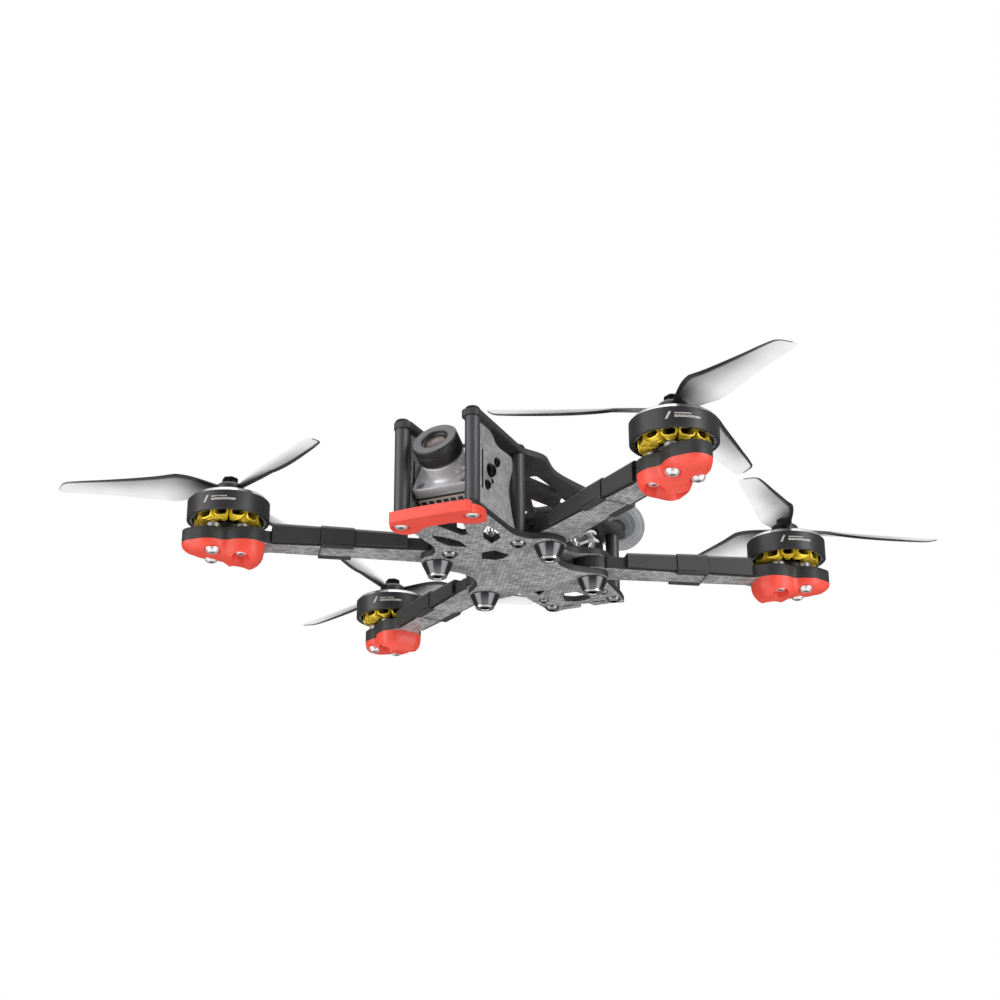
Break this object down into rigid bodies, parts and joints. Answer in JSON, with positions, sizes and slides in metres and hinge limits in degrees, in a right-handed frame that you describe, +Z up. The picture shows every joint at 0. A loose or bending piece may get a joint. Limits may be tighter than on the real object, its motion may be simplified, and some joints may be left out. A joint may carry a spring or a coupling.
{
  "type": "racing drone",
  "caption": "Small racing quadcopter: carbon X frame, brushless motors with three-blade propellers, tilting camera, red motor guards and round rear antenna.",
  "frame": {"origin": "on the base plate's underside, midway between the four motor axes", "axes": "+Z up along the motor axes, -Y towards the nose where the camera looks, +X towards the aircraft's own left"},
  "size_m": [0.2333, 0.1819, 0.0588],
  "materials": {
    "carbon": "woven carbon-fibre sheet with a satin resin surface and darker cut edges",
    "cover_plastic": "smooth dark moulded plastic",
    "red_rubber": "soft satin red",
    "pad_foam": "matt black grippy foam",
    "foot_metal": "gloss black anodised, bright ring at the tip",
    "post_metal": "satin dark grey anodised",
    "motor_black": "black anodised",
    "motor_bell": "satin dark grey with a bright top edge",
    "winding": "varnished yellow copper wire",
    "propeller_smoke": "translucent smoke grey",
    "black_steel": "black oxide",
    "silver_metal": "bright satin",
    "lens_barrel": "black barrel round a dark coated lens",
    "circuit_board": "black solder mask with parts on it",
    "shield_can": "stamped shield",
    "black_plastic": "matt",
    "antenna_shell": "translucent grey"
  },
  "bodies": {
    "airframe": {"base_plate": "carbon", "mid_plate": "carbon", "top_plate": "carbon", "battery_pad": "pad_foam", "front_bumper": "red_rubber", "speed_controller": "circuit_board", "flight_controller": "circuit_board", "video_transmitter": "shield_can", "capacitor": "silver_metal", "antenna_mount": "black_plastic", "antenna": "antenna_shell", "camera_side_plate_left": "carbon", "camera_side_plate_right": "carbon", "post_front_left": "post_metal", "post_middle_left": "post_metal", "post_rear_left": "post_metal", "post_front_right": "post_metal", "post_middle_right": "post_metal", "post_rear_right": "post_metal", "arm_front_left": "carbon", "arm_cover_front_left": "cover_plastic", "motor_guard_front_left": "red_rubber", "foot_front_left": "foot_metal", "motor_base_front_left": "motor_black", "motor_stator_front_left": "winding", "arm_front_right": "carbon", "arm_cover_front_right": "cover_plastic", "motor_guard_front_right": "red_rubber", "foot_front_right": "foot_metal", "motor_base_front_right": "motor_black", "motor_stator_front_right": "winding", "arm_rear_left": "carbon", "arm_cover_rear_left": "cover_plastic", "motor_guard_rear_left": "red_rubber", "foot_rear_left": "foot_metal", "motor_base_rear_left": "motor_black", "motor_stator_rear_left": "winding", "arm_rear_right": "carbon", "arm_cover_rear_right": "cover_plastic", "motor_guard_rear_right": "red_rubber", "foot_rear_right": "foot_metal", "motor_base_rear_right": "motor_black", "motor_stator_rear_right": "winding"},
    "camera_unit": {"camera_housing": "silver_metal", "camera_lens": "lens_barrel", "camera_circuit": "circuit_board", "camera_screw_left": "black_steel", "camera_screw_right": "black_steel"},
    "rotor_front_left": {"motor_bell_front_left": "motor_bell", "propeller_front_left": "propeller_smoke", "prop_nut_front_left": "black_steel"},
    "rotor_front_right": {"motor_bell_front_right": "motor_bell", "propeller_front_right": "propeller_smoke", "prop_nut_front_right": "black_steel"},
    "rotor_rear_left": {"motor_bell_rear_left": "motor_bell", "propeller_rear_left": "propeller_smoke", "prop_nut_rear_left": "black_steel"},
    "rotor_rear_right": {"motor_bell_rear_right": "motor_bell", "propeller_rear_right": "propeller_smoke", "prop_nut_rear_right": "black_steel"}
  },
  "joints": [
    {"name": "rotor_spin_front_left", "type": "hinge", "parent": "airframe", "child": "rotor_front_left", "pos_m": [0.071, -0.053, 0.019], "axis": [0, 0, 1], "continuous": true},
    {"name": "rotor_spin_front_right", "type": "hinge", "parent": "airframe", "child": "rotor_front_right", "pos_m": [-0.071, -0.053, 0.019], "axis": [0, 0, 1], "continuous": true},
    {"name": "rotor_spin_rear_left", "type": "hinge", "parent": "airframe", "child": "rotor_rear_left", "pos_m": [0.071, 0.053, 0.019], "axis": [0, 0, 1], "continuous": true},
    {"name": "rotor_spin_rear_right", "type": "hinge", "parent": "airframe", "child": "rotor_rear_right", "pos_m": [-0.071, 0.053, 0.019], "axis": [0, 0, 1], "continuous": true},
    {"name": "camera_tilt", "type": "hinge", "parent": "airframe", "child": "camera_unit", "pos_m": [0, -0.045, 0.015], "axis": [-1, 0, 0], "range_deg": [-32, 28]}
  ]
}
